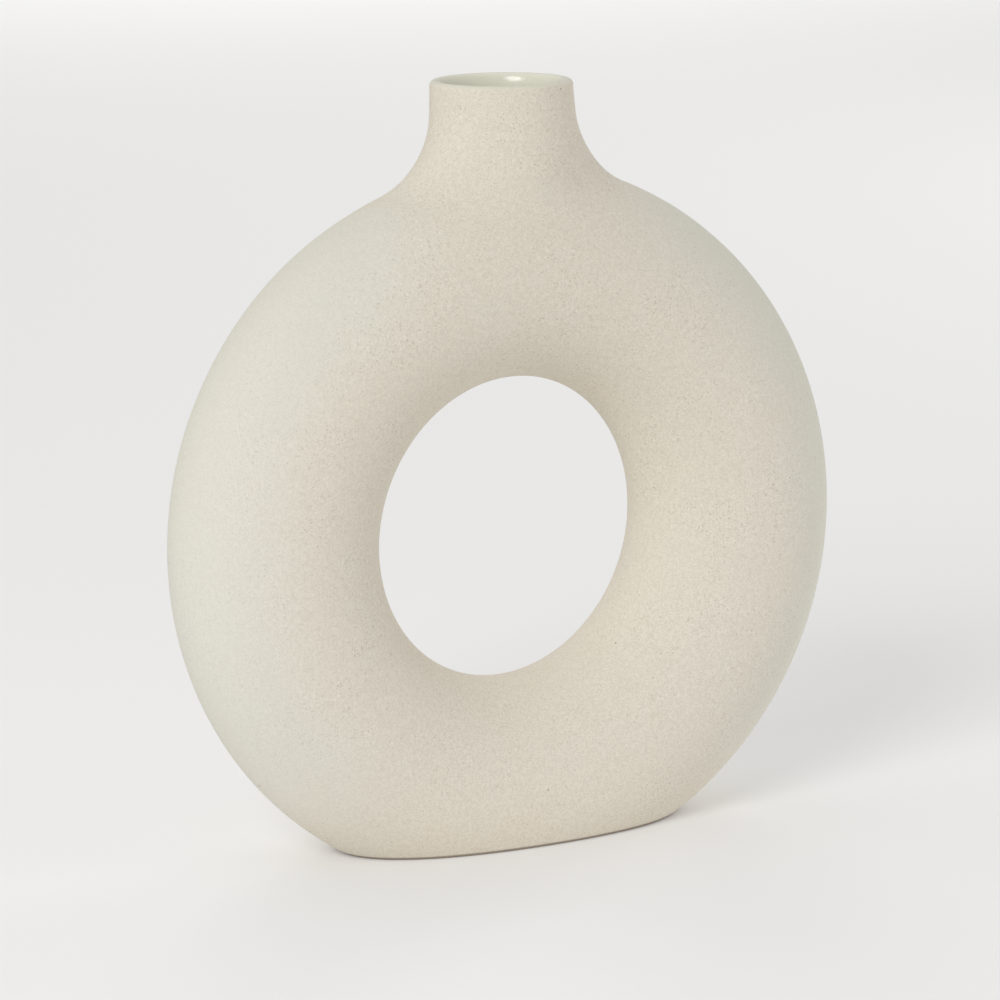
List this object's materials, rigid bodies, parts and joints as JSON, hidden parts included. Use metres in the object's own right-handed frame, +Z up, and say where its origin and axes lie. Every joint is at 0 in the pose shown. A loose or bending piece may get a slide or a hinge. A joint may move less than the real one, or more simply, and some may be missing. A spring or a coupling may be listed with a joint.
{
  "type": "donut vase",
  "caption": "Upright hollow ring vase of matte stoneware on a flat oval foot, with a short flared neck and a glazed lining for water and stems.",
  "frame": {"origin": "centre of the flat foot, on the surface that the vase stands on", "axes": "+Z up through the neck, +Y along the axis of the ring's hole towards the rear, +X to the right of someone who looks at the front"},
  "size_m": [0.268, 0.0694, 0.28],
  "materials": {
    "sandy_stoneware": "matte warm off-white stoneware with a fine sandy speckle",
    "luting_slip": "matte fired slip of the same clay",
    "cream_glaze": "glossy cream liner glaze"
  },
  "bodies": {
    "root": {"front_top_shell": "sandy_stoneware", "front_left_shell": "sandy_stoneware", "front_right_shell": "sandy_stoneware", "front_bottom_shell": "sandy_stoneware", "rear_top_shell": "sandy_stoneware", "rear_left_shell": "sandy_stoneware", "rear_right_shell": "sandy_stoneware", "rear_bottom_shell": "sandy_stoneware", "neck_collar": "sandy_stoneware", "foot_slab": "sandy_stoneware", "left_seam_slip": "luting_slip", "right_seam_slip": "luting_slip", "hole_seam_slip": "luting_slip", "neck_slip": "luting_slip", "foot_slip": "luting_slip", "glaze_lining": "cream_glaze"}
  },
  "joints": []
}
